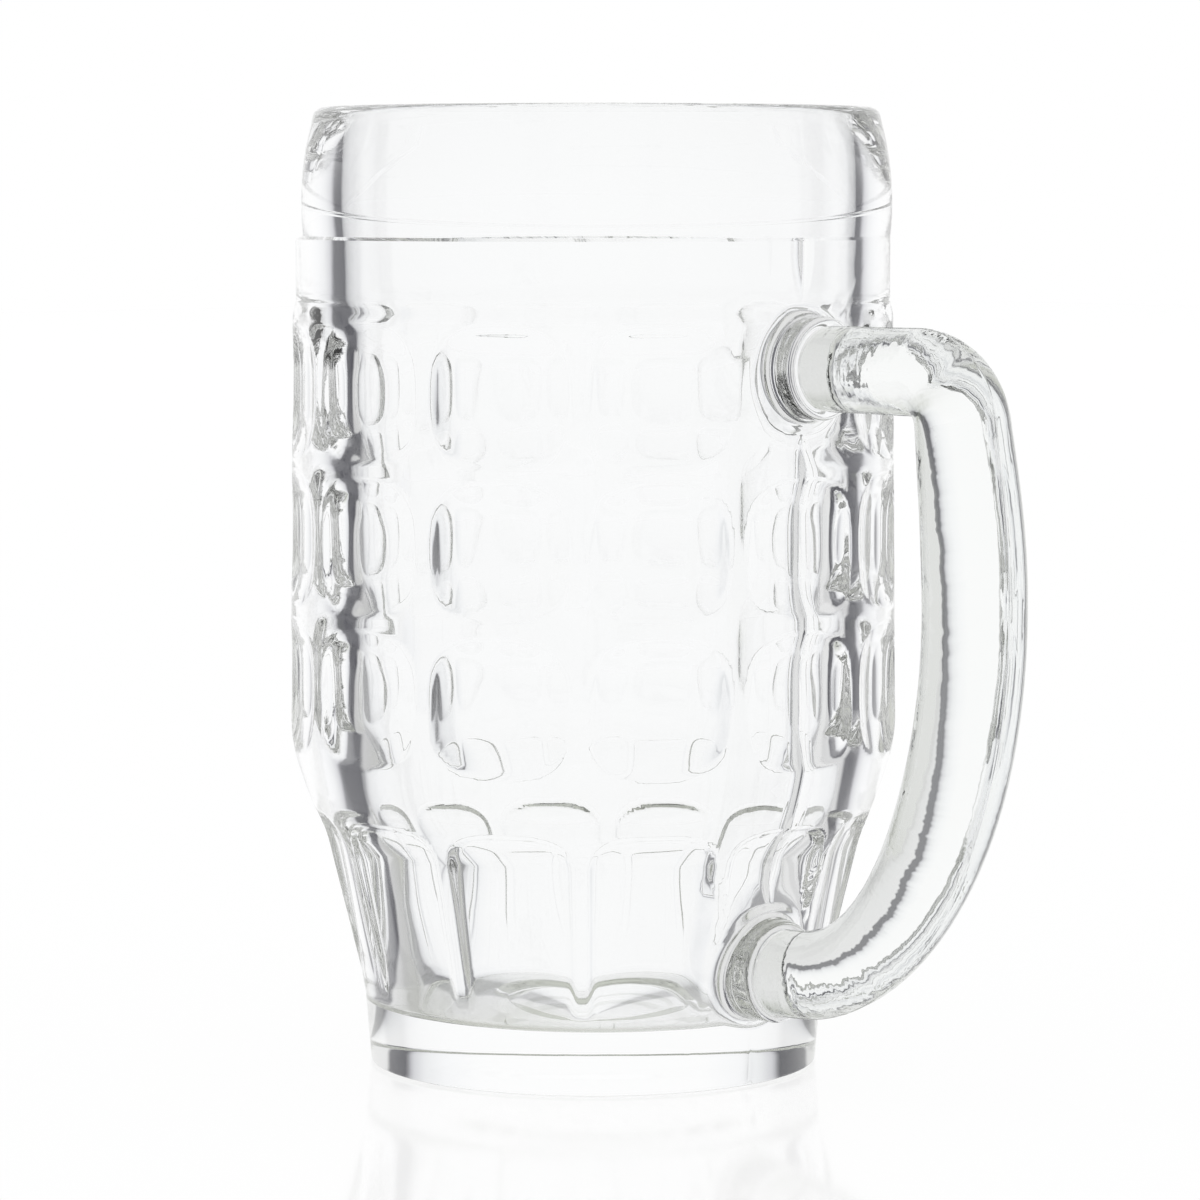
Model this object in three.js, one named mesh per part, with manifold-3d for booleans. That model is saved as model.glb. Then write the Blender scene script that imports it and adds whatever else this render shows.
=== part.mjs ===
// A half-litre beer mug of pressed glass, in millimetres with +Z up.
// The body is moulded with two bosses, and the handle is a second piece of glass welded onto them.
// The origin is the middle of the foot's underside, and the handle reaches out along +X.
import * as THREE from 'three';
import { mergeVertices } from 'three/addons/utils/BufferGeometryUtils.js';
import Module from 'manifold-3d';

const wasm = await Module();
wasm.setup();

// Heights of the body's zones, stacked from the table up
const footHeight = 11.5;
const taperHeight = 23.5;
const shoulderHeight = 15;
const paneRows = 3;
const paneRowHeight = 23.7;
const paneTopFade = 1.9;
const plainBandHeight = 10;
const rimHeight = 21;

// Outside radii of the body, on the crests of its ribs
const footRadius = 36.2;
const footTopRadius = 37.1;
const taperTopRadius = 42.9;
const ribLowRadius = 49;
const ribTopRadius = 48.3;
const plainRadius = 47.8;
const rimRadius = 47.2;
const rimBulge = 0.9;
const lipRadius = 45.6;
const footCorner = 1.5;
const ledgeRise = 0.5;
const shoulderSpring = 5;
const shoulderCrown = 8;

// Glass thicknesses, from the rib crests to the smooth inside
const lipThickness = 4.3;
const plainWall = 6.6;
const ribWall = 8.7;
const taperWall = 7.6;
const footWall = 6.6;
const floorThickness = 11;
const floorBend = 13;
const shoulderBend = 9;

// Hollows pressed into the outside, one column of panes and one flute between each two ribs
const ribCount = 12;
const ribWidth = 2.3;
const rowBand = 2.5;
const edgeRoundness = 0.14;
const flatShare = 0.25;
const cornerPower = 3;
const paneDepth = 1.4;
const fluteDepth = 1.4;
const fluteTopReach = 6.5;
const fluteCorner = 8;
const fluteFade = 10;

// Handle, its bosses and the welds between them
const upperBossHeight = 113.5;
const lowerBossHeight = 19;
const upperBossStand = 4.9;
const lowerBossStand = 5.4;
const bossRadius = 8;
const bossFillet = 2;
const bossEdge = 1;
const bossPad = 7;
const upperStubRadius = 6.5;
const lowerStubRadius = 6.8;
const stubLength = 2;
const elbowReach = 80.8;
const elbowRadius = 9;
const elbowLean = THREE.MathUtils.degToRad(7);
const gripReach = 84.4;
const gripHeight = 78;
const gripHalfDepth = 7;
const gripHalfWidth = 9;
const upperGripBow = 12;
const lowerGripBow = 32;
const lowerBow = 22;

// Facets
const roundSteps = 96;
const paneSteps = 6;
const fluteSteps = 7;
const shoulderSteps = 4;
const bossSteps = 32;
const handleSteps = 60;
const handleSides = 18;

const glass = { color: 0xe9efec, roughness: 0.05, metalness: 0 };

// Levels where one zone meets the next
const shoulderBottom = footHeight + taperHeight;
const panesBottom = shoulderBottom + shoulderHeight;
const panesTop = panesBottom + paneRows * paneRowHeight;
const plainBottom = panesTop + paneTopFade;
const ledge = plainBottom + plainBandHeight;
const mugHeight = ledge + rimHeight;
const ribPitch = (2 * Math.PI) / ribCount;

const smoothstep = THREE.MathUtils.smoothstep;

// Evenly spaced heights from one level up to just below another
function levels(from, to, steps) {
  return Array.from({ length: steps }, (_, i) => from + ((to - from) * i) / steps);
}

// Radius at a height on a line of (radius, height) points that climbs all the way
function radiusOn(points, height) {
  const above = points.findIndex((point) => point.y > height);
  if (above <= 0) return points.at(above).x;
  const low = points[above - 1];
  const high = points[above];
  return THREE.MathUtils.mapLinear(height, low.y, high.y, low.x, high.x);
}

// A closed geometry as a solid with shared corners and no collapsed triangles
function solidOf(geometry) {
  const bare = geometry.clone();
  bare.deleteAttribute('normal');
  bare.deleteAttribute('uv');
  const merged = mergeVertices(bare);
  const index = merged.index.array;
  const triangles = [];
  for (let i = 0; i < index.length; i += 3) {
    const [a, b, c] = index.slice(i, i + 3);
    if (a !== b && b !== c && c !== a) triangles.push(a, b, c);
  }
  const mesh = new wasm.Mesh({
    numProp: 3,
    vertProperties: merged.attributes.position.array,
    triVerts: Uint32Array.from(triangles),
  });
  return new wasm.Manifold(mesh);
}

// A solid back as a geometry
function geometryOf(solid) {
  const mesh = solid.getMesh();
  const geometry = new THREE.BufferGeometry();
  geometry.setAttribute('position', new THREE.BufferAttribute(mesh.vertProperties, 3));
  geometry.setIndex(new THREE.BufferAttribute(mesh.triVerts, 1));
  geometry.computeVertexNormals();
  return geometry;
}

// Outside of the body along a rib crest, from the top of the foot's rounding to the ledge
function crestOutline() {
  const taperSlope = (taperTopRadius - footTopRadius) / taperHeight;
  const path = new THREE.Path();
  path.moveTo(footRadius, footCorner);
  path.lineTo(footTopRadius, footHeight);
  path.lineTo(taperTopRadius, shoulderBottom);
  path.bezierCurveTo(
    taperTopRadius + taperSlope * shoulderSpring, shoulderBottom + shoulderSpring,
    ribLowRadius, panesBottom + paneRowHeight / 4 - shoulderCrown,
    ribLowRadius, panesBottom + paneRowHeight / 4,
  );
  path.lineTo(ribTopRadius, panesTop);
  path.lineTo(plainRadius, plainBottom);
  path.lineTo(plainRadius, ledge);
  return path.getPoints(24);
}

// Rim above the ledge: a shallow barrel and a round lip
function rimOutline() {
  const lipHalf = lipThickness / 2;
  const lipSpring = mugHeight - lipHalf;
  const bottom = new THREE.Vector2(rimRadius, ledge + ledgeRise);
  const top = new THREE.Vector2(lipRadius, lipSpring);
  const bulge = bottom.clone().add(top).multiplyScalar(0.5);
  bulge.x += 2 * rimBulge;
  const barrel = new THREE.QuadraticBezierCurve(bottom, bulge, top);
  const lip = new THREE.EllipseCurve(lipRadius - lipHalf, lipSpring, lipHalf, lipHalf, 0, Math.PI);
  return [...barrel.getPoints(4).slice(0, -1), ...lip.getPoints(6)];
}

// Smooth inside from the lip down: a drafted wall, the bend of the shoulder, a taper and the floor
function insideOutline() {
  const lipInside = lipRadius - lipThickness;
  const shoulder = new THREE.Vector2(ribLowRadius - ribWall, panesBottom - shoulderBend / 2);
  const taperTop = new THREE.Vector2(taperTopRadius - taperWall, shoulderBottom);
  const floorEdge = new THREE.Vector2(footTopRadius - footWall, floorThickness);
  const taperLow = floorEdge.clone().lerp(taperTop, floorBend / (shoulderBottom - floorThickness));
  const path = new THREE.Path();
  path.moveTo(lipInside, mugHeight - lipThickness / 2);
  path.lineTo(plainRadius - plainWall, ledge);
  path.lineTo(shoulder.x, panesBottom + shoulderBend);
  path.quadraticCurveTo(shoulder.x, shoulder.y, taperTop.x, taperTop.y);
  path.lineTo(taperLow.x, taperLow.y);
  path.quadraticCurveTo(floorEdge.x, floorEdge.y, floorEdge.x - floorBend, floorThickness);
  path.lineTo(0, floorThickness);
  return path.getPoints(5).slice(1);
}

// Depth share over a hollow: 1 on its flat middle, 0 on its rounded edge
function hollow(place) {
  const fromEdge = (t) => Math.hypot(1 - t, edgeRoundness) - edgeRoundness;
  const toMiddle = 1 - fromEdge(place) / fromEdge(0);
  const upFlank = Math.max(toMiddle - flatShare, 0) / (1 - flatShare);
  return 1 - upFlank * upFlank;
}

// Place between two crests, -1 to 1
function betweenCrests(distance, pitch) {
  const turns = distance / pitch;
  return 2 * (turns - Math.floor(turns)) - 1;
}

// How far the outside lies below the rib crests at an angle and a height
function sink(angle, height) {
  const halfPitch = (ribPitch / 2) * radiusOn(crests, height);
  const halfHollow = halfPitch - ribWidth / 2;
  const across = (Math.abs(betweenCrests(angle + ribPitch / 2, ribPitch)) * halfPitch) / halfHollow;
  let along = 0;
  let depth = 0;
  if (height > panesBottom && height < panesTop) {
    const rowShare = paneRowHeight / (paneRowHeight - rowBand);
    along = Math.abs(betweenCrests(height - panesBottom, paneRowHeight)) * rowShare;
    depth = paneDepth;
  } else if (height > footHeight && height <= panesBottom) {
    const belowTop = shoulderBottom + fluteTopReach - height;
    along = Math.max(1 - belowTop / fluteCorner, 0);
    depth = fluteDepth * smoothstep(height, footHeight, footHeight + fluteFade);
  }
  const place = (across ** cornerPower + along ** cornerPower) ** (1 / cornerPower);
  if (place >= 1) return 0;
  return depth * hollow(place) * awayFromBosses(angle, height);
}

// Share of a hollow's depth that the smooth pads round the bosses leave
function awayFromBosses(angle, height) {
  if (Math.cos(angle) < 0) return 1;
  const shares = [upperBossHeight, lowerBossHeight].map((bossHeight) => {
    const sideways = radiusOn(crests, bossHeight) * Math.sin(angle);
    const distance = Math.hypot(sideways, height - bossHeight);
    return smoothstep(distance, bossRadius, bossRadius + bossPad);
  });
  return Math.min(...shares);
}

// Turned blank of the body with its panes and flutes pressed in
function pressedBody() {
  const corner = new THREE.QuadraticBezierCurve(
    new THREE.Vector2(footRadius - footCorner, 0),
    new THREE.Vector2(footRadius, 0),
    new THREE.Vector2(footRadius, footCorner),
  );
  const foot = [new THREE.Vector2(0, 0), ...corner.getPoints(3).slice(0, -1)];
  const heights = [
    footCorner,
    ...levels(footHeight, shoulderBottom, fluteSteps),
    ...levels(shoulderBottom, panesBottom, shoulderSteps),
    ...levels(panesBottom, panesTop, paneRows * paneSteps),
    panesTop,
    plainBottom,
    ledge,
  ];
  const wall = heights.map((height) => new THREE.Vector2(radiusOn(crests, height), height));
  const outline = [...foot, ...wall, ...rimOutline(), ...insideOutline()];
  const blank = new THREE.LatheGeometry(outline, roundSteps);
  blank.rotateX(Math.PI / 2);
  const position = blank.attributes.position;
  for (let i = 0; i < position.count; i++) {
    const place = (i % outline.length) - foot.length;
    if (place < 0 || place >= wall.length) continue;
    const angle = Math.atan2(position.getY(i), position.getX(i));
    const pressed = wall[place].x - sink(angle, wall[place].y);
    position.setX(i, pressed * Math.cos(angle));
    position.setY(i, pressed * Math.sin(angle));
  }
  return solidOf(blank);
}

// Boss for one end of the handle: a round pad that flares into the wall and ends in a flat face
function boss(height, joint) {
  const wallRadius = radiusOn(crests, height);
  const root = wallRadius - plainWall / 2;
  const outline = [
    new THREE.Vector2(0, root),
    new THREE.Vector2(bossRadius + bossFillet, root),
    ...new THREE.QuadraticBezierCurve(
      new THREE.Vector2(bossRadius + bossFillet, wallRadius - bossFillet),
      new THREE.Vector2(bossRadius, wallRadius),
      new THREE.Vector2(bossRadius, wallRadius + bossFillet),
    ).getPoints(5),
    new THREE.Vector2(bossRadius, joint - bossEdge),
    new THREE.Vector2(bossRadius - bossEdge, joint),
    new THREE.Vector2(0, joint),
  ];
  const turned = new THREE.LatheGeometry(outline, bossSteps);
  turned.rotateZ(-Math.PI / 2);
  turned.translate(0, 0, height);
  return solidOf(turned);
}

// Closed tube of oval rings along a curve in the handle's plane
function ovalTube(curve, halfSizesAt) {
  const corners = [];
  const triangles = [];
  for (let i = 0; i <= handleSteps; i++) {
    const share = i / handleSteps;
    const middle = curve.getPoint(share);
    const along = curve.getTangent(share);
    const outward = new THREE.Vector3(-along.z, 0, along.x);
    const [depth, width] = halfSizesAt(share);
    for (let side = 0; side < handleSides; side++) {
      const turn = (2 * Math.PI * side) / handleSides;
      const corner = middle.clone().addScaledVector(outward, depth * Math.cos(turn));
      corners.push(corner.x, width * Math.sin(turn), corner.z);
    }
  }
  for (let i = 0; i < handleSteps; i++) {
    for (let side = 0; side < handleSides; side++) {
      const next = (side + 1) % handleSides;
      const [a, b] = [i * handleSides + side, i * handleSides + next];
      const [c, d] = [a + handleSides, b + handleSides];
      triangles.push(a, c, b, b, c, d);
    }
  }
  const last = handleSteps * handleSides;
  for (let side = 1; side < handleSides - 1; side++) {
    triangles.push(0, side, side + 1);
    triangles.push(last, last + side + 1, last + side);
  }
  const geometry = new THREE.BufferGeometry();
  geometry.setAttribute('position', new THREE.Float32BufferAttribute(corners, 3));
  geometry.setIndex(triangles);
  geometry.computeVertexNormals();
  return geometry;
}

// Handle: straight out of the upper boss, round an elbow into the grip, and in a sweep to the lower boss
function handleTube(upperJoint, lowerJoint) {
  const at = (reach, height) => new THREE.Vector3(reach, 0, height);
  const upperEnd = at(upperJoint, upperBossHeight);
  const grip = at(gripReach, gripHeight);
  const lowerStub = at(lowerJoint + stubLength, lowerBossHeight);
  const lowerEnd = at(lowerJoint, lowerBossHeight);
  const elbow = at(elbowReach, upperBossHeight);
  const elbowTurn = Math.PI / 2 - elbowLean;
  const elbowLeg = elbowRadius * Math.tan(elbowTurn / 2);
  const elbowBow = (elbowRadius * Math.tan(elbowTurn / 4) * 4) / 3;
  const down = at(Math.sin(elbowLean), -Math.cos(elbowLean));
  const elbowStart = at(elbowReach - elbowLeg, upperBossHeight);
  const elbowEnd = elbow.clone().addScaledVector(down, elbowLeg);
  const path = new THREE.CurvePath();
  path.add(new THREE.LineCurve3(upperEnd, elbowStart));
  path.add(new THREE.CubicBezierCurve3(
    elbowStart,
    at(elbowStart.x + elbowBow, upperBossHeight),
    elbowEnd.clone().addScaledVector(down, -elbowBow),
    elbowEnd,
  ));
  path.add(new THREE.CubicBezierCurve3(
    elbowEnd,
    elbowEnd.clone().addScaledVector(down, elbowBow),
    at(gripReach, gripHeight + upperGripBow),
    grip,
  ));
  path.add(new THREE.CubicBezierCurve3(
    grip,
    at(gripReach, gripHeight - lowerGripBow),
    at(lowerStub.x + lowerBow, lowerBossHeight),
    lowerStub,
  ));
  path.add(new THREE.LineCurve3(lowerStub, lowerEnd));
  const halfSizes = (share) => {
    const fromTop = smoothstep(share, 0.05, 0.4);
    const fromBottom = smoothstep(share, 0.6, 1);
    const blend = (top, grip, bottom) => {
      const upper = THREE.MathUtils.lerp(top, grip, fromTop);
      return THREE.MathUtils.lerp(upper, bottom, fromBottom);
    };
    return [
      blend(upperStubRadius, gripHalfDepth, lowerStubRadius),
      blend(upperStubRadius, gripHalfWidth, lowerStubRadius),
    ];
  };
  return ovalTube(path, halfSizes);
}

function glassPiece(name, geometry) {
  const piece = new THREE.Mesh(geometry, new THREE.MeshStandardMaterial(glass));
  piece.name = name;
  return piece;
}

const crests = crestOutline();
const upperJoint = radiusOn(crests, upperBossHeight) + upperBossStand;
const lowerJoint = radiusOn(crests, lowerBossHeight) + lowerBossStand;
const body = pressedBody()
  .add(boss(upperBossHeight, upperJoint))
  .add(boss(lowerBossHeight, lowerJoint));

const mug = new THREE.Group();
mug.add(glassPiece('mug_body', geometryOf(body)));
mug.add(glassPiece('handle', handleTube(upperJoint, lowerJoint)));

export default mug;
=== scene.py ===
from math import asin, atan2, copysign, cos, floor, hypot, pi, radians, sin, sqrt, tan

import bmesh
import bpy
from mathutils import Matrix, Vector


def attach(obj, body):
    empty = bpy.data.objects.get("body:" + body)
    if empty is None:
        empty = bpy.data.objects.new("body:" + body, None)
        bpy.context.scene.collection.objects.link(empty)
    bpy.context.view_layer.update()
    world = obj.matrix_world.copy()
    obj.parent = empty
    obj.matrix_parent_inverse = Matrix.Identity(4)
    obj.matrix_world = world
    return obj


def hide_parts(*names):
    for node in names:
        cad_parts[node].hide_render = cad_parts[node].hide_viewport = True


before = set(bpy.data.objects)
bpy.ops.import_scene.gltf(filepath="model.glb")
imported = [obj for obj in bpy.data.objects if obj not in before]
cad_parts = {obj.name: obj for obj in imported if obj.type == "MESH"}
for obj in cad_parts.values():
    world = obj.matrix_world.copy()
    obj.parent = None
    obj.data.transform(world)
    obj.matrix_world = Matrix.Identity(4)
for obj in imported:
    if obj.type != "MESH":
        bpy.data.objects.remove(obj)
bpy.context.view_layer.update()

# All sizes are in millimetres, with +Z up and the handle along +X, until a mesh is finished
MM = 0.001

# Heights of the body's zones, stacked from the table up
FOOT_HEIGHT = 11.5
TAPER_HEIGHT = 23.5
SHOULDER_HEIGHT = 15
PANE_ROWS = 3
PANE_ROW_HEIGHT = 23.7
PANE_TOP_FADE = 1.9
PLAIN_BAND_HEIGHT = 10
RIM_HEIGHT = 21
SHOULDER_BOTTOM = FOOT_HEIGHT + TAPER_HEIGHT
PANES_BOTTOM = SHOULDER_BOTTOM + SHOULDER_HEIGHT
PANES_TOP = PANES_BOTTOM + PANE_ROWS * PANE_ROW_HEIGHT
PLAIN_BOTTOM = PANES_TOP + PANE_TOP_FADE
LEDGE = PLAIN_BOTTOM + PLAIN_BAND_HEIGHT
MUG_HEIGHT = LEDGE + RIM_HEIGHT

# Outside radii of the body, on its ribs, and its roundings
FOOT_RADIUS = 36.2
FOOT_TOP_RADIUS = 37.1
TAPER_TOP_RADIUS = 42.9
RIB_LOW_RADIUS = 48.95
RIB_TOP_RADIUS = 48.3
PLAIN_RADIUS = 47.8
RIM_RADIUS = 47.2
RIM_BULGE = 0.9
LIP_RADIUS = 45.6
FOOT_CORNER = 0.5
LEDGE_RISE = 0.5
SHOULDER_SPRING = 5
SHOULDER_CROWN = 8

# Glass thicknesses, from the rib crests to the smooth inside
LIP_THICKNESS = 3.7
PLAIN_WALL = 6.6
RIB_WALL = 9.5
TAPER_WALL = 9
FOOT_WALL = 7.4
FLOOR_THICKNESS = 9.5
LIP_SPRING = MUG_HEIGHT - LIP_THICKNESS / 2
LIP_INSIDE_RADIUS = LIP_RADIUS - LIP_THICKNESS

# Bends of the inside, and the radius and depth of a fine ring in its floor
SHOULDER_BEND = 9
FLOOR_BEND = 1.5
FLOOR_RING = 15.5
FLOOR_STEP = 0.35

# Hollows pressed into the outside, one column of panes and one flute between each two ribs
RIB_COUNT = 12
RIB_PITCH = 2 * pi / RIB_COUNT
RIB_SHARE = 0.115
ROW_BAND = 2.5
CORNER_POWER = 3
PANE_DEPTH = 1.6
FLUTE_DEPTH = 1.3
FLUTE_TOP_REACH = 6.5
FLUTE_CORNER = 6
FLUTE_FADE = 26

# Flat middle and rounded edge of the hollows, as shares of the way from middle to edge
PANE_FLAT = 0.4
FLUTE_FLAT = 0.1
PANE_EDGE = 0.06
FLUTE_EDGE = 0.04

# Steep step along the edge of each hollow, which draws its outline in the glass
EDGE_SHARE = 0.06
PANE_STEP = 0.2
FLUTE_STEP = 0.7
FLUTE_STEP_FADE = 9

# The ring that forms the rim and the plunger that forms the inside sit a little off the axis
RING_SHIFT = 0.6
PLUNGER_SHIFT = 0.8

# Fine forming line inside the rim, in a plane tilted towards the front
RIM_LINE_HEIGHT = 138.5
RIM_LINE_RISE = 0.2
RIM_LINE_HALF = 0.25
RIM_LINE_TILT = radians(4.7)

# Bosses that carry the handle
UPPER_BOSS_HEIGHT = 113.5
LOWER_BOSS_HEIGHT = 19
UPPER_BOSS_STAND = 4.9
LOWER_BOSS_STAND = 5.4
BOSS_RADIUS = 8
BOSS_FILLET = 2
BOSS_EDGE = 1
BOSS_PAD = 7

# Handle, with the shares of its length over which it turns oval and round again
UPPER_STUB_RADIUS = 6.5
LOWER_STUB_RADIUS = 6.8
STUB_LENGTH = 2
WELD_GAP = 0.02
ELBOW_REACH = 80.8
ELBOW_RADIUS = 9
ELBOW_LEAN = radians(7)
GRIP_REACH = 84.4
GRIP_HEIGHT = 78
GRIP_HALF_DEPTH = 6.87
GRIP_HALF_WIDTH = 9
UPPER_GRIP_BOW = 12
LOWER_GRIP_BOW = 32
LOWER_BOW = 22
OVAL_SHARES = (0.05, 0.4)
ROUND_SHARES = (0.6, 1)

# Fine mould seam in the handle's plane
SEAM_HEIGHT = 0.3
BACK_SEAM_HEIGHT = 0.02
SEAM_HALF_WIDTH = 0.22
HANDLE_SEAM_HEIGHT = 0.12

# Rows and columns of the body's mesh
COLUMNS = 336
COLUMN_CROWDING = 0.7
WALL_STEP = 0.65
FLUTE_TOP_STEP = 0.45
FLUTE_TOP_MARGIN = 1
BOSS_ROW_STEP = 0.75
BOSS_ROWS = 18
SHOULDER_STEPS = 40
CORNER_STEPS = 8
LIP_STEPS = 16
BEND_STEPS = 12
INNER_WALL_STEPS = 6
STRAIGHT_STEPS = 4
LIP_ROW_SHARES = (0.3, 0.6)
DOUBLES_DISTANCE = 0.0005
OUTSIDE_MARGIN = 0.05

# Rings of the body's mesh round the middle of each boss
FACE_RINGS = 6
EDGE_RINGS = 3
SIDE_RINGS = 2
FILLET_RINGS = 4
BLEND_RINGS = 7
EDGE_START = FACE_RINGS + 1
SIDE_START = EDGE_START + EDGE_RINGS
FILLET_START = SIDE_START + SIDE_RINGS
BLEND_START = FILLET_START + FILLET_RINGS

# Handle's mesh
HANDLE_RINGS = 180
HANDLE_SIDES = 72
SIDE_CROWDING = 0.7
HANDLE_CURVE_STEPS = 100

# Glass, with faint ripples on the body and wrinkles on the handle from its grip to its welds
BODY_COLOR = (0.994, 0.997, 1, 1)
HANDLE_COLOR = (0.97, 0.98, 0.975, 1)
GLASS_IOR = 1.5
RIPPLE_SCALE = 90
RIPPLE_DETAIL = 2
RIPPLE_STRENGTH = 0.015
WRINKLE_SCALE = 160
WRINKLE_DETAIL = 3
WRINKLE_STRENGTH = 0.3
WRINKLE_START = 86
WRINKLE_FULL = 66
GRIP_WRINKLE_SHARE = 0.06

# Surround as the glass shows it, by degrees to the right of straight ahead
WHITE = (1, 1, 1, 1)
DARK_PANEL = (0.05, 0.05, 0.065, 1)
BEHIND = (0.70, 0.71, 0.67, 1)
FRONT_STOPS = (
    (20, WHITE),
    (29, (0.95, 0.955, 0.965, 1)),
    (36, (0.84, 0.85, 0.86, 1)),
    (41.5, (0.60, 0.60, 0.63, 1)),
    (44.5, DARK_PANEL),
)
SURROUND_STOPS = (
    (-180, BEHIND),
    (-140, (0.62, 0.63, 0.58, 1)),
    (-100, (0.50, 0.51, 0.46, 1)),
    (-68, (0.64, 0.64, 0.64, 1)),
    (-64, DARK_PANEL),
    *[(-degrees, color) for degrees, color in reversed(FRONT_STOPS)],
    *FRONT_STOPS,
    (55, DARK_PANEL),
    (58, (0.78, 0.78, 0.78, 1)),
    (140, (0.76, 0.765, 0.75, 1)),
    (180, BEHIND),
)

# Ceiling as the glass shows it, by the height of the direction
CEILING_STOPS = (
    (0.35, WHITE),
    (0.75, (0.58, 0.60, 0.54, 1)),
)

# Table, with the share of its own light in what the camera and the glass see of it
TABLE_HALF_SIZE = 4000
TABLE_DROP = 0.2
TABLE_COLOR = (0.99, 0.99, 0.99, 1)
TABLE_METALLIC = 0.7
TABLE_ROUGHNESS = 0.08
TABLE_GLOW = 0.8

# Camera, fitted to the photograph
CAMERA_AZIMUTH = radians(47.5)
CAMERA_DISTANCE = 779
CAMERA_HEIGHT = 141
CAMERA_PITCH = radians(4.87)
CAMERA_RIGHT = 1.13
CAMERA_LENS = 144.8
CAMERA_SENSOR = 36
TO_RIGHT = Vector((cos(CAMERA_AZIMUTH), sin(CAMERA_AZIMUTH), 0))
AHEAD = Vector((-sin(CAMERA_AZIMUTH), cos(CAMERA_AZIMUTH), 0))


def mix(a, b, share):
    return a + (b - a) * share


def smoothstep(value, low, high):
    share = min(max((value - low) / (high - low), 0), 1)
    return share * share * (3 - 2 * share)


def curve_points(controls, steps):
    """Points of a Bezier curve with these control points, both ends included."""
    points = []
    for i in range(steps + 1):
        level = [Vector(control) for control in controls]
        while len(level) > 1:
            level = [a.lerp(b, i / steps) for a, b in zip(level, level[1:])]
        points.append(level[0])
    return points


def radius_on(points, height):
    """Radius at a height on a line of (radius, height) points that climbs all the way."""
    for low, high in zip(points, points[1:]):
        if height <= high.y:
            break
    share = (height - low.y) / (high.y - low.y)
    return mix(low.x, high.x, min(max(share, 0), 1))


# Outlines of the body as (radius, height)


def crest_outline():
    """Outside along a rib crest, from the top of the foot's rounding to the ledge."""
    slope = (TAPER_TOP_RADIUS - FOOT_TOP_RADIUS) / TAPER_HEIGHT
    crown = PANES_BOTTOM + PANE_ROW_HEIGHT / 4
    shoulder = curve_points([
        (TAPER_TOP_RADIUS, SHOULDER_BOTTOM),
        (TAPER_TOP_RADIUS + slope * SHOULDER_SPRING, SHOULDER_BOTTOM + SHOULDER_SPRING),
        (RIB_LOW_RADIUS, crown - SHOULDER_CROWN),
        (RIB_LOW_RADIUS, crown),
    ], SHOULDER_STEPS)
    return [
        Vector((FOOT_RADIUS, FOOT_CORNER)),
        Vector((FOOT_TOP_RADIUS, FOOT_HEIGHT)),
        *shoulder,
        Vector((RIB_TOP_RADIUS, PANES_TOP)),
        Vector((PLAIN_RADIUS, PLAIN_BOTTOM)),
        Vector((PLAIN_RADIUS, LEDGE)),
    ]


def foot_outline():
    """Flat underside and the rounding up to the wall."""
    flat_edge = (FOOT_RADIUS - FOOT_CORNER, 0)
    underside = curve_points([(0, 0), flat_edge], STRAIGHT_STEPS)
    corner = curve_points([flat_edge, (FOOT_RADIUS, 0), (FOOT_RADIUS, FOOT_CORNER)], CORNER_STEPS)
    return underside[:-1] + corner[:-1]


def rim_outline():
    """Shallow barrel above the ledge and the round lip, down to the inside of the lip."""
    half = LIP_THICKNESS / 2
    bottom = Vector((RIM_RADIUS, LEDGE + LEDGE_RISE))
    top = Vector((LIP_RADIUS, LIP_SPRING))
    bulge = (bottom + top) / 2 + Vector((2 * RIM_BULGE, 0))
    barrel = curve_points([bottom, bulge, top], BEND_STEPS)
    turns = [pi * i / LIP_STEPS for i in range(1, LIP_STEPS + 1)]
    lip = [Vector((LIP_RADIUS - half + half * cos(t), LIP_SPRING + half * sin(t))) for t in turns]
    return barrel + lip


def inside_outline():
    """Smooth inside from below the lip: a drafted wall, the shoulder's bend, a taper and the floor."""
    lip_inside = Vector((LIP_INSIDE_RADIUS, LIP_SPRING))
    wall_top = Vector((PLAIN_RADIUS - PLAIN_WALL, LEDGE))
    line = lip_inside.lerp(wall_top, (lip_inside.y - RIM_LINE_HEIGHT) / (lip_inside.y - LEDGE))
    line_half = Vector((0, RIM_LINE_HALF))
    wall_low = Vector((RIB_LOW_RADIUS - RIB_WALL, PANES_BOTTOM + SHOULDER_BEND))
    bend = Vector((wall_low.x, PANES_BOTTOM - SHOULDER_BEND / 2))
    taper_top = Vector((TAPER_TOP_RADIUS - TAPER_WALL, SHOULDER_BOTTOM))
    floor_edge = Vector((FOOT_TOP_RADIUS - FOOT_WALL, FLOOR_THICKNESS))
    taper_low = floor_edge.lerp(taper_top, FLOOR_BEND / (SHOULDER_BOTTOM - FLOOR_THICKNESS))
    floor_start = floor_edge - Vector((FLOOR_BEND, 0))
    step_top = Vector((FLOOR_RING, FLOOR_THICKNESS))
    step_foot = step_top - Vector((FLOOR_STEP, FLOOR_STEP))
    return [
        *[lip_inside.lerp(line, share) for share in LIP_ROW_SHARES],
        line + 2 * line_half,
        line + line_half,
        line - Vector((RIM_LINE_RISE, 0)),
        line - line_half,
        line - 2 * line_half,
        *curve_points([wall_top, wall_low], INNER_WALL_STEPS)[:-1],
        *curve_points([wall_low, bend, taper_top], BEND_STEPS)[:-1],
        *curve_points([taper_top, taper_low], STRAIGHT_STEPS)[:-1],
        *curve_points([taper_low, floor_edge, floor_start], BEND_STEPS)[:-1],
        *curve_points([floor_start, step_top], STRAIGHT_STEPS),
        *curve_points([step_foot, (0, step_foot.y)], STRAIGHT_STEPS),
    ]


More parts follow.
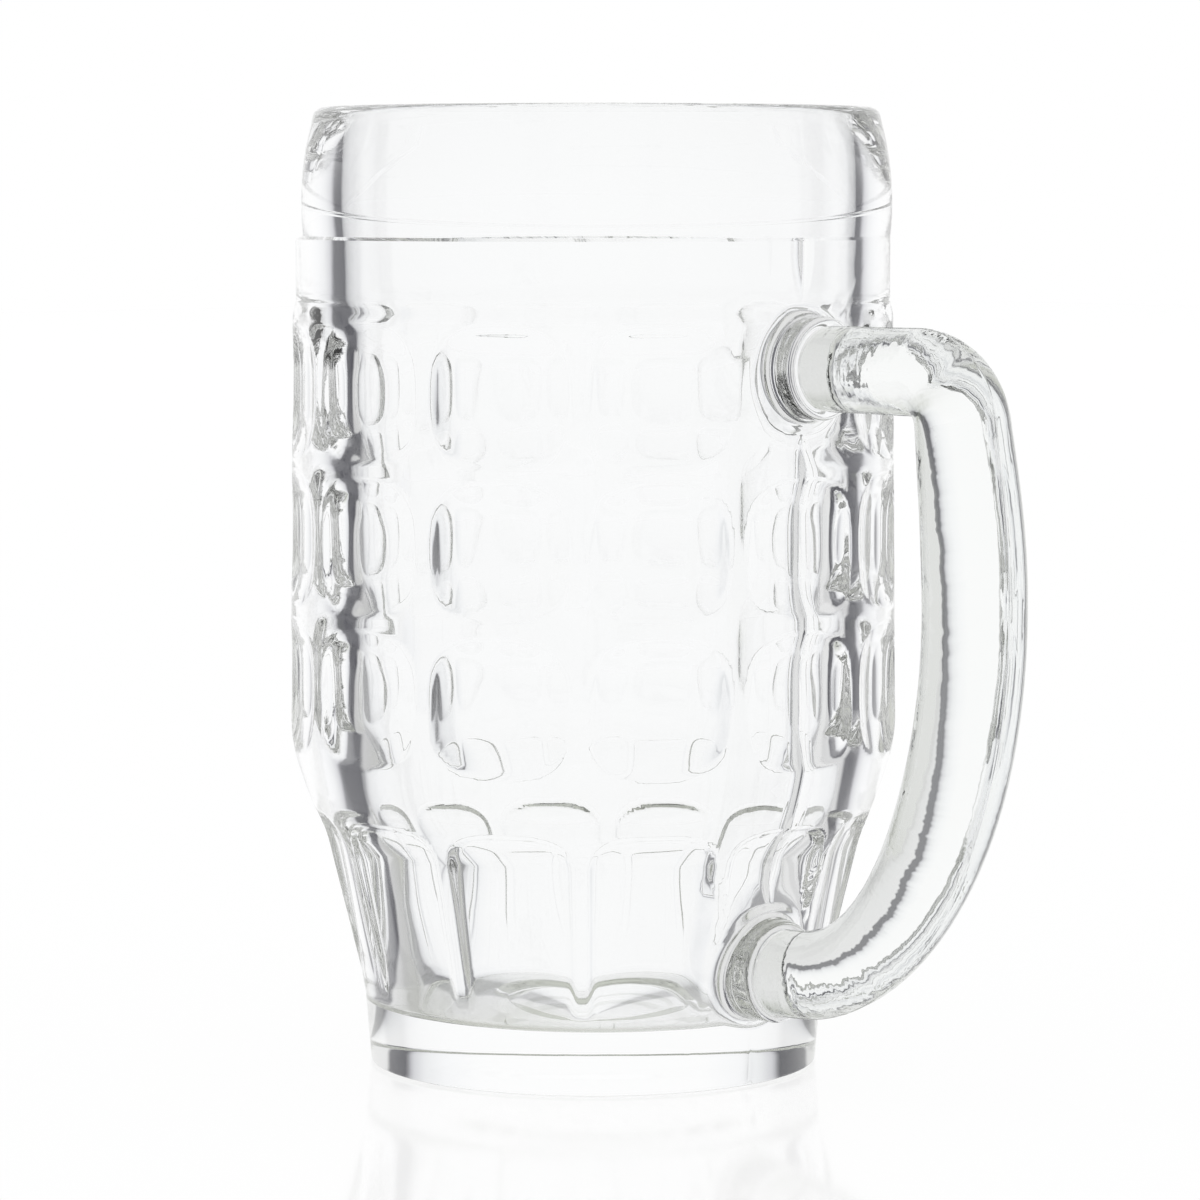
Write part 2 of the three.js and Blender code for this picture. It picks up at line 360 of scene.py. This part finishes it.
CRESTS = crest_outline()
UPPER_JOINT = radius_on(CRESTS, UPPER_BOSS_HEIGHT) + UPPER_BOSS_STAND
LOWER_JOINT = radius_on(CRESTS, LOWER_BOSS_HEIGHT) + LOWER_BOSS_STAND
BOSSES = (
    (UPPER_BOSS_HEIGHT, UPPER_JOINT, UPPER_STUB_RADIUS),
    (LOWER_BOSS_HEIGHT, LOWER_JOINT, LOWER_STUB_RADIUS),
)


# Pressed hollows of the outside


def hollow(place, edge, flat):
    """Depth share over a hollow: 1 on its flat middle, 0 on its rounded edge."""
    from_edge = hypot(1 - place, edge) - edge
    from_middle = 1 - from_edge / (hypot(1, edge) - edge)
    up_flank = max(from_middle - flat, 0) / (1 - flat)
    return 1 - up_flank * up_flank


def between_crests(distance, pitch):
    """Place between two crests, -1 to 1."""
    turns = distance / pitch
    return 2 * (turns - floor(turns)) - 1


def away_from_bosses(angle, height):
    """Share of a hollow's depth that the smooth pads round the bosses leave."""
    if cos(angle) < 0:
        return 1
    shares = []
    for boss_height in (UPPER_BOSS_HEIGHT, LOWER_BOSS_HEIGHT):
        sideways = radius_on(CRESTS, boss_height) * sin(angle)
        distance = hypot(sideways, height - boss_height)
        shares.append(smoothstep(distance, BOSS_RADIUS, BOSS_RADIUS + BOSS_PAD))
    return min(shares)


def sink(angle, height):
    """How far the pressed outside lies below the ribs at an angle and a height."""
    across = abs(between_crests(angle + RIB_PITCH / 2, RIB_PITCH)) / (1 - RIB_SHARE)
    if PANES_BOTTOM < height < PANES_TOP:
        pane_share = (PANE_ROW_HEIGHT - ROW_BAND) / PANE_ROW_HEIGHT
        along = abs(between_crests(height - PANES_BOTTOM, PANE_ROW_HEIGHT)) / pane_share
        depth, step, edge, flat = PANE_DEPTH, PANE_STEP, PANE_EDGE, PANE_FLAT
    elif FOOT_HEIGHT < height <= PANES_BOTTOM:
        below_top = SHOULDER_BOTTOM + FLUTE_TOP_REACH - height
        along = max(1 - below_top / FLUTE_CORNER, 0)
        depth = FLUTE_DEPTH * smoothstep(height, FOOT_HEIGHT, FOOT_HEIGHT + FLUTE_FADE)
        step = FLUTE_STEP * smoothstep(height, FOOT_HEIGHT, FOOT_HEIGHT + FLUTE_STEP_FADE)
        edge, flat = FLUTE_EDGE, FLUTE_FLAT
    else:
        return 0
    place = (across ** CORNER_POWER + along ** CORNER_POWER) ** (1 / CORNER_POWER)
    if place >= 1:
        return 0
    flank = step * smoothstep(1 - place, 0, EDGE_SHARE)
    return (depth * hollow(place, edge, flat) + flank) * away_from_bosses(angle, height)


def wall_point(angle, height):
    """Point of the pressed outside."""
    radius = radius_on(CRESTS, height) - sink(angle, height)
    return Vector((radius * cos(angle), radius * sin(angle), height))


# Body


def wall_heights():
    """Rows of the outside, with one at the middle of each boss and the closest at the flute tops."""
    reach = BOSS_ROW_STEP * BOSS_ROWS
    flute_tops = SHOULDER_BOTTOM + FLUTE_TOP_REACH + FLUTE_TOP_MARGIN
    stops = [
        (FOOT_CORNER, LOWER_BOSS_HEIGHT - reach, WALL_STEP),
        (LOWER_BOSS_HEIGHT - reach, LOWER_BOSS_HEIGHT + reach, BOSS_ROW_STEP),
        (LOWER_BOSS_HEIGHT + reach, flute_tops, FLUTE_TOP_STEP),
        (flute_tops, UPPER_BOSS_HEIGHT - reach, WALL_STEP),
        (UPPER_BOSS_HEIGHT - reach, UPPER_BOSS_HEIGHT + reach, BOSS_ROW_STEP),
        (UPPER_BOSS_HEIGHT + reach, LEDGE, WALL_STEP),
    ]
    heights = []
    for low, high, step in stops:
        count = round((high - low) / step)
        heights += [mix(low, high, i / count) for i in range(count)]
    return heights + [LEDGE]


def row_height(height):
    """Height rounded so that points of one row share it."""
    return round(height, 2)


def column_angle(column):
    """Angle of a column counted from the handle's plane, crowded towards the ribs."""
    seam = SEAM_HALF_WIDTH / PLAIN_RADIUS
    if abs(column) == 1:
        return copysign(seam, column)
    if abs(column) == COLUMNS // 2 - 1:
        return copysign(pi - seam, column)
    pane = round(column * RIB_COUNT / COLUMNS)
    from_middle = 2 * (column * RIB_COUNT / COLUMNS - pane)
    to_rib = 1 - abs(from_middle)
    crowded = mix(to_rib, to_rib * to_rib, COLUMN_CROWDING)
    return (pane + copysign(1 - crowded, from_middle) / 2) * RIB_PITCH


def ring_direction(sideways, upwards):
    """Direction from a boss's middle, evenly spread over the cells of one square ring."""
    if abs(sideways) >= abs(upwards):
        turn = pi / 4 * upwards / abs(sideways)
        return copysign(cos(turn), sideways), sin(turn)
    turn = pi / 4 * sideways / abs(upwards)
    return sin(turn), copysign(cos(turn), upwards)


def boss_point(boss_height, joint, stub_radius, columns, rows):
    """Point of a boss, or of the wall just round it, for a cell counted from the boss's middle."""
    ring = max(abs(columns), abs(rows))
    across, up = ring_direction(columns, rows) if ring else (1, 0)
    if ring <= FACE_RINGS:
        reach = stub_radius * ring / FACE_RINGS
        x = joint
    elif ring <= SIDE_START:
        turn = pi / 2 * (ring - EDGE_START) / EDGE_RINGS
        reach = BOSS_RADIUS - BOSS_EDGE * (1 - sin(turn))
        x = joint - BOSS_EDGE * (1 - cos(turn))
    else:
        turn = pi / 2 * min(max((ring - FILLET_START) / FILLET_RINGS, 0), 1)
        reach = BOSS_RADIUS + BOSS_FILLET * (1 - cos(turn))
        radius = radius_on(CRESTS, boss_height + reach * up)
        wall = sqrt(radius * radius - reach * across * reach * across)
        down_side = min((ring - SIDE_START) / SIDE_RINGS, 1)
        x = mix(joint - BOSS_EDGE, wall + BOSS_FILLET * (1 - sin(turn)), down_side)
    return Vector((x, reach * across, boss_height + reach * up))


def outside_point(column, height, rows):
    """Point of the outside with its hollows, bosses and mould seam."""
    angle = column_angle(column)
    place = wall_point(angle, height)
    seam = {0: SEAM_HEIGHT, COLUMNS // 2: BACK_SEAM_HEIGHT}.get(abs(column), 0)
    for boss_height, joint, stub_radius in BOSSES:
        up = rows[height] - rows[row_height(boss_height)]
        beyond = max(abs(column), abs(up)) - BLEND_START
        if beyond >= BLEND_RINGS:
            continue
        point = boss_point(boss_height, joint, stub_radius, column, up)
        if beyond <= 0:
            place, seam = point, 0
            continue
        share = smoothstep(beyond, 0, BLEND_RINGS)
        y = mix(point.y, place.y, share)
        z = mix(point.z, place.z, share)
        radius = radius_on(CRESTS, z)
        turn = asin(y / radius)
        place = wall_point(asin(y / (radius - sink(turn, z))), z)
        seam *= share
    return place + Vector((cos(angle), sin(angle), 0)) * seam


def off_axis(radius, height):
    """How far the rim and the inside lie off the axis."""
    if height > LEDGE:
        outwards = smoothstep(radius, LIP_INSIDE_RADIUS, LIP_RADIUS)
        return TO_RIGHT * mix(PLUNGER_SHIFT, RING_SHIFT, outwards)
    inside = height > FLOOR_THICKNESS - 2 * FLOOR_STEP
    return TO_RIGHT * (PLUNGER_SHIFT if inside else 0)


def rim_line_lift(place):
    """Lift that tilts the forming line inside the rim, fading out to the lip and the ledge."""
    if place.z < LEDGE or hypot(place.x, place.y) > LIP_INSIDE_RADIUS:
        return Vector((0, 0, 0))
    above = (LIP_SPRING - place.z) / (LIP_SPRING - RIM_LINE_HEIGHT)
    below = (place.z - LEDGE) / (RIM_LINE_HEIGHT - LEDGE)
    return Vector((0, 0, place.dot(AHEAD) * tan(RIM_LINE_TILT) * max(min(above, below), 0)))


def turned_point(column, radius, height):
    """Point of the foot, the rim or the inside."""
    angle = column_angle(column)
    place = Vector((radius * cos(angle), radius * sin(angle), height))
    return place + off_axis(radius, height) + rim_line_lift(place)


def turned_blank(outline):
    """Mesh of an outline turned round the axis."""
    mesh = bmesh.new()
    points = [mesh.verts.new((p.x, 0, p.y)) for p in outline]
    edges = [mesh.edges.new(pair) for pair in zip(points, points[1:])]
    bmesh.ops.spin(
        mesh, geom=points + edges, axis=(0, 0, 1), angle=2 * pi, steps=COLUMNS, use_merge=True,
    )
    bmesh.ops.remove_doubles(mesh, verts=mesh.verts[:], dist=DOUBLES_DISTANCE)
    bmesh.ops.recalc_face_normals(mesh, faces=mesh.faces[:])
    return mesh


def pressed_body():
    """Turned blank with its panes, flutes, bosses and mould seam."""
    heights = wall_heights()
    rows = {row_height(height): i for i, height in enumerate(heights)}
    wall = [Vector((radius_on(CRESTS, height), height)) for height in heights]
    mesh = turned_blank(foot_outline() + wall + rim_outline() + inside_outline())
    for vert in mesh.verts:
        radius = hypot(vert.co.x, vert.co.y)
        column = round(atan2(vert.co.y, vert.co.x) / (2 * pi / COLUMNS))
        height = row_height(vert.co.z)
        if height in rows and radius > radius_on(CRESTS, height) - OUTSIDE_MARGIN:
            vert.co = outside_point(column, height, rows)
        else:
            vert.co = turned_point(column, radius, vert.co.z)
    for face in mesh.faces:
        face.smooth = True
    for edge in mesh.edges:
        low, high = sorted(row_height(vert.co.z) for vert in edge.verts)
        edge.smooth = not (low == high and low in (LEDGE, LEDGE + LEDGE_RISE))
    return finished("glass_body", mesh)


# Handle


def handle_path():
    """Points of the handle's middle line in its plane, as (reach, height)."""
    out, down = Vector((1, 0)), Vector((sin(ELBOW_LEAN), -cos(ELBOW_LEAN)))
    turn = pi / 2 - ELBOW_LEAN
    leg = ELBOW_RADIUS * tan(turn / 2)
    # Length of the control arms with which a Bezier curve follows the elbow's arc
    bow = ELBOW_RADIUS * tan(turn / 4) * 4 / 3
    corner = Vector((ELBOW_REACH, UPPER_BOSS_HEIGHT))
    start, end = corner - out * leg, corner + down * leg
    elbow = curve_points([start, start + out * bow, end - down * bow, end], HANDLE_CURVE_STEPS)
    over = curve_points([
        end,
        end + down * bow,
        (GRIP_REACH, GRIP_HEIGHT + UPPER_GRIP_BOW),
        (GRIP_REACH, GRIP_HEIGHT),
    ], HANDLE_CURVE_STEPS)
    lower = LOWER_JOINT + STUB_LENGTH
    under = curve_points([
        (GRIP_REACH, GRIP_HEIGHT),
        (GRIP_REACH, GRIP_HEIGHT - LOWER_GRIP_BOW),
        (lower + LOWER_BOW, LOWER_BOSS_HEIGHT),
        (lower, LOWER_BOSS_HEIGHT),
    ], 2 * HANDLE_CURVE_STEPS)
    top_end = Vector((UPPER_JOINT + WELD_GAP, UPPER_BOSS_HEIGHT))
    low_end = Vector((LOWER_JOINT + WELD_GAP, LOWER_BOSS_HEIGHT))
    return [top_end, *elbow, *over[1:], *under[1:], low_end]


def along_path(points, count):
    """Evenly spaced (place, direction) pairs along a line of points, ends included."""
    lengths = [0]
    for a, b in zip(points, points[1:]):
        lengths.append(lengths[-1] + (b - a).length)
    stations = []
    k = 0
    for i in range(count + 1):
        target = lengths[-1] * i / count
        while k < len(points) - 2 and lengths[k + 1] < target:
            k += 1
        step = points[k + 1] - points[k]
        share = (target - lengths[k]) / step.length
        stations.append((points[k] + step * share, step.normalized()))
    return stations


def handle_half_sizes(share):
    """Half depth in the handle's plane and half width across it, at a share of its length."""
    oval = smoothstep(share, *OVAL_SHARES)
    lower = smoothstep(share, *ROUND_SHARES)
    depth = mix(mix(UPPER_STUB_RADIUS, GRIP_HALF_DEPTH, oval), LOWER_STUB_RADIUS, lower)
    width = mix(mix(UPPER_STUB_RADIUS, GRIP_HALF_WIDTH, oval), LOWER_STUB_RADIUS, lower)
    return depth, width


def welded_handle():
    """Round bar bent along the handle's path and pressed oval in the grip."""
    mesh = bmesh.new()
    # The bar has length and radius 1 and lies along Z, from -0.5 to 0.5, until it is bent
    bmesh.ops.create_cone(
        mesh, cap_ends=True, cap_tris=False, segments=HANDLE_SIDES,
        radius1=1, radius2=1, depth=1,
    )
    long_edges = [e for e in mesh.edges if abs(e.verts[0].co.z - e.verts[1].co.z) > 0.5]
    bmesh.ops.subdivide_edges(mesh, edges=long_edges, cuts=HANDLE_RINGS - 1, use_grid_fill=False)
    stations = along_path(handle_path(), HANDLE_RINGS)
    for vert in mesh.verts:
        station = round((vert.co.z + 0.5) * HANDLE_RINGS)
        middle, direction = stations[station]
        depth, width = handle_half_sizes(station / HANDLE_RINGS)
        turn = atan2(vert.co.y, vert.co.x)
        turn -= SIDE_CROWDING * sin(2 * turn) / 2
        on_seam = abs(vert.co.y) < 0.001 and 0 < station < HANDLE_RINGS
        across = (depth + (HANDLE_SEAM_HEIGHT if on_seam else 0)) * cos(turn)
        vert.co = (
            middle.x - across * direction.y,
            width * sin(turn),
            middle.y + across * direction.x,
        )
    bmesh.ops.reverse_faces(mesh, faces=mesh.faces[:])
    for face in mesh.faces:
        face.smooth = len(face.verts) == 4
    return finished("glass_handle", mesh)


def finished(name, mesh):
    """The mesh as an object in metres."""
    bmesh.ops.transform(mesh, matrix=Matrix.Scale(MM, 4), verts=mesh.verts[:])
    data = bpy.data.meshes.new(name)
    mesh.to_mesh(data)
    mesh.free()
    piece = bpy.data.objects.new(name, data)
    bpy.context.scene.collection.objects.link(piece)
    return piece


# Materials


def math_node(tree, operation, *operands, clamp=False):
    """Output of a math node whose operands are sockets or numbers."""
    node = tree.nodes.new("ShaderNodeMath")
    node.operation = operation
    node.use_clamp = clamp
    for socket, operand in zip(node.inputs, operands):
        if isinstance(operand, bpy.types.NodeSocket):
            tree.links.new(operand, socket)
        else:
            socket.default_value = operand
    return node.outputs["Value"]


def noise_node(tree, place, scale, detail):
    """Output of a noise texture at a place."""
    noise = tree.nodes.new("ShaderNodeTexNoise")
    noise.inputs["Scale"].default_value = scale
    noise.inputs["Detail"].default_value = detail
    tree.links.new(place, noise.inputs["Vector"])
    return noise.outputs["Fac"]


def add_relief(tree, shader, height, strength):
    """Bump of a height on a shader."""
    bump = tree.nodes.new("ShaderNodeBump")
    bump.inputs["Strength"].default_value = strength
    bump.inputs["Distance"].default_value = MM
    tree.links.new(height, bump.inputs["Height"])
    tree.links.new(bump.outputs["Normal"], shader.inputs["Normal"])


def new_material(name):
    """Material with its node tree and its shader."""
    material = bpy.data.materials.new(name)
    material.use_nodes = True
    tree = material.node_tree
    return material, tree, tree.nodes["Principled BSDF"]


def new_glass(name, color):
    """Polished glass, with its node tree, its shader and the place on the object."""
    material, tree, shader = new_material(name)
    shader.inputs["Base Color"].default_value = color
    shader.inputs["Roughness"].default_value = 0
    shader.inputs["IOR"].default_value = GLASS_IOR
    shader.inputs["Transmission Weight"].default_value = 1
    place = tree.nodes.new("ShaderNodeTexCoord").outputs["Object"]
    return material, tree, shader, place


def clear_glass():
    """Fire-polished pressed glass with faint ripples."""
    material, tree, shader, place = new_glass("clear_glass", BODY_COLOR)
    ripples = noise_node(tree, place, RIPPLE_SCALE, RIPPLE_DETAIL)
    add_relief(tree, shader, ripples, RIPPLE_STRENGTH)
    return material


def handle_glass():
    """Glass of the handle, with chill wrinkles towards its welds."""
    material, tree, shader, place = new_glass("handle_glass", HANDLE_COLOR)
    apart = tree.nodes.new("ShaderNodeSeparateXYZ")
    tree.links.new(place, apart.inputs["Vector"])
    near_weld = tree.nodes.new("ShaderNodeMapRange")
    near_weld.inputs["From Min"].default_value = WRINKLE_START * MM
    near_weld.inputs["From Max"].default_value = WRINKLE_FULL * MM
    near_weld.inputs["To Min"].default_value = GRIP_WRINKLE_SHARE
    near_weld.inputs["To Max"].default_value = 1
    tree.links.new(apart.outputs["X"], near_weld.inputs["Value"])
    wrinkles = noise_node(tree, place, WRINKLE_SCALE, WRINKLE_DETAIL)
    height = math_node(tree, "MULTIPLY", near_weld.outputs["Result"], wrinkles)
    add_relief(tree, shader, height, WRINKLE_STRENGTH)
    return material


# Stage


def ramp_node(tree, share, stops):
    """Output of a colour ramp with these stops, from first to last."""
    node = tree.nodes.new("ShaderNodeValToRGB")
    elements = node.color_ramp.elements
    for end, (position, color) in zip(elements, (stops[0], stops[-1])):
        end.position = position
        end.color = color
    for position, color in stops[1:-1]:
        elements.new(position).color = color
    tree.links.new(share, node.inputs["Fac"])
    return node.outputs["Color"]


def dot_node(tree, direction, axis):
    """Output of a direction's share along an axis."""
    node = tree.nodes.new("ShaderNodeVectorMath")
    node.operation = "DOT_PRODUCT"
    node.inputs[1].default_value = axis
    tree.links.new(direction, node.inputs[0])
    return node.outputs["Value"]


def side_panels(tree, direction):
    """White surround, with dark side panels for light that has passed through glass."""
    aside = dot_node(tree, direction, TO_RIGHT)
    ahead = dot_node(tree, direction, AHEAD)
    azimuth = math_node(tree, "ARCTAN2", aside, ahead)
    share = math_node(tree, "MULTIPLY_ADD", azimuth, 1 / (2 * pi), 0.5)
    stops = [(0.5 + degrees / 360, color) for degrees, color in SURROUND_STOPS]
    panels = ramp_node(tree, share, stops)
    path = tree.nodes.new("ShaderNodeLightPath")
    through_glass = math_node(tree, "MINIMUM", path.outputs["Transmission Depth"], 1)
    blend = tree.nodes.new("ShaderNodeMix")
    blend.data_type = "RGBA"
    blend.inputs["A"].default_value = WHITE
    tree.links.new(through_glass, blend.inputs["Factor"])
    tree.links.new(panels, blend.inputs["B"])
    return blend.outputs["Result"]


def studio_world():
    """White studio all round, with a grey ceiling for the glass to show."""
    world = bpy.data.worlds.new("studio")
    bpy.context.scene.world = world
    world.use_nodes = True
    tree = world.node_tree
    direction = tree.nodes.new("ShaderNodeTexCoord").outputs["Generated"]
    surround = side_panels(tree, direction)
    apart = tree.nodes.new("ShaderNodeSeparateXYZ")
    tree.links.new(direction, apart.inputs["Vector"])
    ceiling = ramp_node(tree, apart.outputs["Z"], CEILING_STOPS)
    path = tree.nodes.new("ShaderNodeLightPath")
    in_glass = tree.nodes.new("ShaderNodeMix")
    in_glass.data_type = "RGBA"
    in_glass.blend_type = "MULTIPLY"
    tree.links.new(path.outputs["Is Transmission Ray"], in_glass.inputs["Factor"])
    tree.links.new(surround, in_glass.inputs["A"])
    tree.links.new(ceiling, in_glass.inputs["B"])
    tree.links.new(in_glass.outputs["Result"], tree.nodes["Background"].inputs["Color"])


def table_white():
    """Pale paint that mirrors a little, glowing white where the camera sees it; seen through the
    glass, its glow carries painted shade, the dark side panels, set by direction round the mug's axis.
    """
    material, tree, paint = new_material("floor_white")
    paint.inputs["Base Color"].default_value = TABLE_COLOR
    paint.inputs["Metallic"].default_value = TABLE_METALLIC
    paint.inputs["Roughness"].default_value = TABLE_ROUGHNESS
    glow_with_painted_panels = tree.nodes.new("ShaderNodeEmission")
    place = tree.nodes.new("ShaderNodeTexCoord")
    # Painted shade: seen through glass, the floor's glow takes the surround's dark side panels, by the
    # direction of each floor point from the mug's axis.
    tree.links.new(side_panels(tree, place.outputs["Object"]), glow_with_painted_panels.inputs["Color"])
    path = tree.nodes.new("ShaderNodeLightPath")
    seen = math_node(tree, "ADD", path.outputs["Is Camera Ray"], path.outputs["Is Glossy Ray"])
    seen = math_node(tree, "ADD", seen, path.outputs["Is Transmission Ray"], clamp=True)
    share = math_node(tree, "MULTIPLY", seen, TABLE_GLOW)
    blend = tree.nodes.new("ShaderNodeMixShader")
    tree.links.new(share, blend.inputs["Fac"])
    tree.links.new(paint.outputs["BSDF"], blend.inputs[1])
    tree.links.new(glow_with_painted_panels.outputs["Emission"], blend.inputs[2])
    tree.links.new(blend.outputs["Shader"], tree.nodes["Material Output"].inputs["Surface"])
    return material


def studio_floor():
    """Pale table, white to the camera, with a faint mirror image and a soft shadow."""
    mesh = bmesh.new()
    bmesh.ops.create_grid(mesh, x_segments=1, y_segments=1, size=TABLE_HALF_SIZE)
    bmesh.ops.translate(mesh, verts=mesh.verts[:], vec=(0, 0, -TABLE_DROP))
    table = finished("floor", mesh)
    table.data.materials.append(table_white())


def studio_camera():
    """Camera in front of the mug, with the handle to its right."""
    data = bpy.data.cameras.new("camera")
    data.sensor_width = CAMERA_SENSOR
    data.lens = CAMERA_LENS
    camera = bpy.data.objects.new("camera", data)
    place = TO_RIGHT * CAMERA_RIGHT - AHEAD * CAMERA_DISTANCE + Vector((0, 0, CAMERA_HEIGHT))
    camera.location = place * MM
    camera.rotation_euler = (pi / 2 - CAMERA_PITCH, 0, CAMERA_AZIMUTH)
    bpy.context.scene.collection.objects.link(camera)
    bpy.context.scene.camera = camera


body = pressed_body()
handle = welded_handle()
for piece, node, glass in ((body, "mug_body", clear_glass()), (handle, "handle", handle_glass())):
    piece.data.materials.append(glass)
    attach(piece, "root")
    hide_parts(node)

studio_world()
studio_floor()
studio_camera()

scene = bpy.context.scene
scene.view_settings.view_transform = "Standard"
scene.cycles.max_bounces = 32
scene.cycles.glossy_bounces = 16
scene.cycles.transmission_bounces = 24
